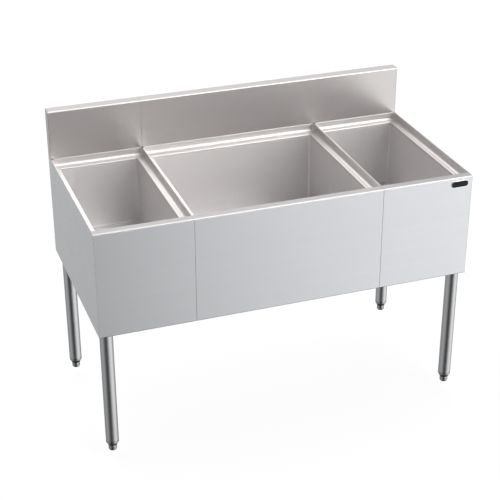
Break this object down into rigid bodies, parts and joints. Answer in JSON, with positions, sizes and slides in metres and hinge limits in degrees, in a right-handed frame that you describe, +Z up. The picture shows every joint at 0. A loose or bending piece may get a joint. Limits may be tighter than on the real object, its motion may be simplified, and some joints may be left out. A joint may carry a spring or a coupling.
{
  "type": "three compartment sink",
  "caption": "Free-standing stainless underbar sink unit: a row of open recessed basins, a low boxed backsplash, and tube legs on adjustable bullet feet.",
  "frame": {"origin": "centre of the footprint on the floor", "axes": "+X to the right seen from the front, +Y towards the wall, +Z up"},
  "size_m": [1.2192, 0.6108, 0.9398],
  "materials": {
    "panel_steel": "satin",
    "rim_steel": "satin",
    "deck_steel": "satin",
    "basin_steel": "satin",
    "frame_steel": "satin",
    "leg_steel": "satin",
    "foot_steel": "satin",
    "zinc_steel": "satin",
    "black_steel": "satin",
    "drain_metal": "gloss",
    "rubber": "matte",
    "foam": "matte",
    "badge_black": "gloss",
    "badge_bright": "gloss"
  },
  "bodies": {
    "frame": {"backsplash_left": "rim_steel", "backsplash_main": "rim_steel", "splash_cap_left": "rim_steel", "splash_cap_right": "rim_steel", "front_rim_main": "rim_steel", "front_rim_right": "rim_steel", "left_deck": "deck_steel", "centre_deck": "deck_steel", "right_deck": "deck_steel", "left_basin": "basin_steel", "centre_basin": "basin_steel", "right_basin": "basin_steel", "left_front_panel": "panel_steel", "centre_front_panel": "panel_steel", "right_front_panel": "panel_steel", "left_end_panel": "panel_steel", "right_end_panel": "panel_steel", "rear_panel_left": "panel_steel", "rear_panel_main": "panel_steel", "left_partition": "frame_steel", "right_partition": "frame_steel", "bin_jacket": "frame_steel", "bin_insulation": "foam", "badge_plate": "badge_black", "badge_bezel": "badge_bright", "left_leg_channel": "frame_steel", "right_leg_channel": "frame_steel", "left_cross_ties": "frame_steel", "right_cross_ties": "frame_steel", "leg_socket_front_left": "frame_steel", "leg_socket_front_right": "frame_steel", "leg_socket_rear_left": "frame_steel", "leg_socket_rear_right": "frame_steel", "leg_tube_front_left": "leg_steel", "leg_tube_front_right": "leg_steel", "leg_tube_rear_left": "leg_steel", "leg_tube_rear_right": "leg_steel", "foot_insert_front_left": "foot_steel", "foot_insert_front_right": "foot_steel", "foot_insert_rear_left": "foot_steel", "foot_insert_rear_right": "foot_steel", "socket_bolts": "zinc_steel", "socket_nuts": "zinc_steel", "leg_set_screws": "black_steel", "joining_studs": "zinc_steel", "joining_nuts": "zinc_steel", "left_drain": "drain_metal", "centre_drain": "drain_metal", "right_drain": "drain_metal", "drain_gaskets": "rubber", "drain_locknuts": "drain_metal"},
    "foot_front_left": {"bullet_foot_front_left": "foot_steel"},
    "foot_front_right": {"bullet_foot_front_right": "foot_steel"},
    "foot_rear_left": {"bullet_foot_rear_left": "foot_steel"},
    "foot_rear_right": {"bullet_foot_rear_right": "foot_steel"},
    "strainer_left": {"left_strainer": "drain_metal"},
    "strainer_centre": {"centre_strainer": "drain_metal"},
    "strainer_right": {"right_strainer": "drain_metal"}
  },
  "joints": [
    {"name": "front_left_foot_screw", "type": "slide", "parent": "frame", "child": "foot_front_left", "axis": [0, 0, -1], "range_m": [0, 0.025]},
    {"name": "front_right_foot_screw", "type": "slide", "parent": "frame", "child": "foot_front_right", "axis": [0, 0, -1], "range_m": [0, 0.025]},
    {"name": "rear_left_foot_screw", "type": "slide", "parent": "frame", "child": "foot_rear_left", "axis": [0, 0, -1], "range_m": [0, 0.025]},
    {"name": "rear_right_foot_screw", "type": "slide", "parent": "frame", "child": "foot_rear_right", "axis": [0, 0, -1], "range_m": [0, 0.025]},
    {"name": "left_strainer_lift", "type": "slide", "parent": "frame", "child": "strainer_left", "axis": [0, 0, 1], "range_m": [0, 0.3]},
    {"name": "centre_strainer_lift", "type": "slide", "parent": "frame", "child": "strainer_centre", "axis": [0, 0, 1], "range_m": [0, 0.36]},
    {"name": "right_strainer_lift", "type": "slide", "parent": "frame", "child": "strainer_right", "axis": [0, 0, 1], "range_m": [0, 0.3]}
  ]
}
